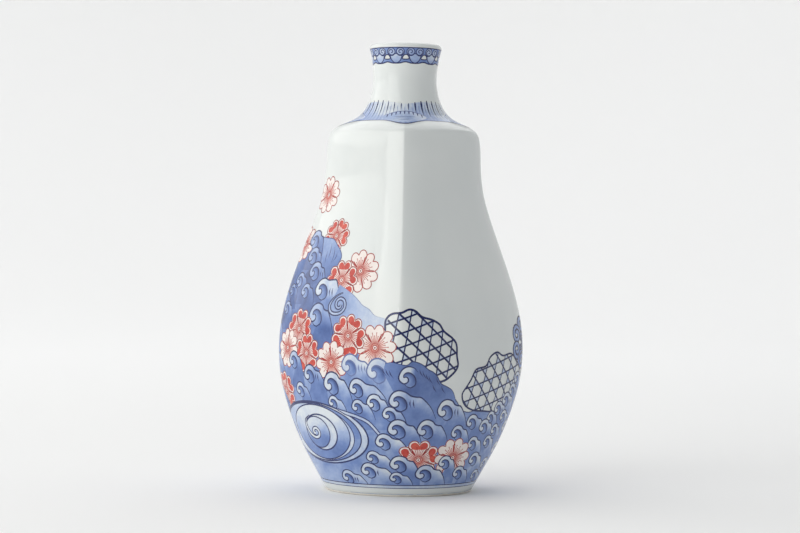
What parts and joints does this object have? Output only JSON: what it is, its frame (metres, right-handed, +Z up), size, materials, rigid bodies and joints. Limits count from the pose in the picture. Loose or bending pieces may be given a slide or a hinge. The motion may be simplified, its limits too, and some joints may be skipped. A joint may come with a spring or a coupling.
{
  "type": "sake bottle",
  "caption": "Tall glazed porcelain bottle with a flared round neck, a square bulging body with soft corners and a round foot ring, painted in blue and red.",
  "frame": {"origin": "centre of the foot ring, on the surface that the bottle stands on", "axes": "+Z up along the bottle's axis towards the mouth; the body's four corners point along +X, +Y, -X and -Y"},
  "size_m": [0.0932, 0.0932, 0.17],
  "materials": {
    "white_glaze": "clear gloss glaze over white porcelain",
    "bare_clay": "smooth unglazed porcelain",
    "blue_painting": "cobalt blue painting under gloss glaze",
    "red_painting": "iron red enamel on gloss glaze"
  },
  "bodies": {
    "root": {"foot_ring": "bare_clay", "base_plate": "white_glaze", "body_wall": "white_glaze", "shoulder": "white_glaze", "neck": "white_glaze"}
  },
  "joints": []
}
